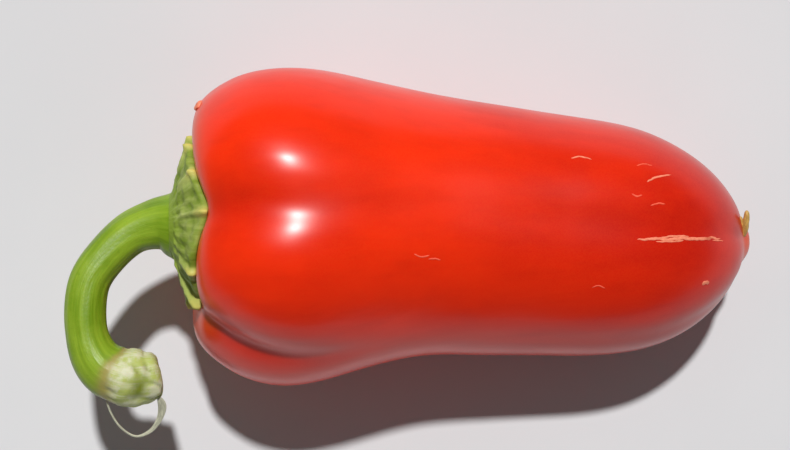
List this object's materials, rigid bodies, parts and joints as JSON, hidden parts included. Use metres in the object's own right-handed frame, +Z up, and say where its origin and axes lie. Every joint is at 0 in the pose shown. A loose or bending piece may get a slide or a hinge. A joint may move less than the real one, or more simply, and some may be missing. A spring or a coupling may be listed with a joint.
{
  "type": "bell pepper",
  "caption": "Ripe red elongated bell pepper lying on its side, with a lobed shoulder, a toothed green calyx and a hooked stem.",
  "frame": {"origin": "middle of the outer box, on the surface that the pepper lies on", "axes": "+X along the fruit from the stem end to the blossom tip, +Z up, the stem's hook swinging towards -Y"},
  "size_m": [0.1732, 0.092, 0.0752],
  "materials": {
    "pepper_skin": "glossy waxy ripe skin, bright orange-red, with a few pale corky cracks",
    "calyx_green": "soft grey-green leafy tissue with yellowish tooth tips",
    "stem_green": "satin green stem with lengthwise streaks and a pale torn end",
    "pale_fibre": "whitish-green torn plant fibre",
    "dried_style": "dry golden-brown flower remnant"
  },
  "bodies": {
    "root": {"fruit": "pepper_skin", "calyx": "calyx_green", "stem": "stem_green", "torn_fibre": "pale_fibre", "style_remnant": "dried_style"}
  },
  "joints": []
}
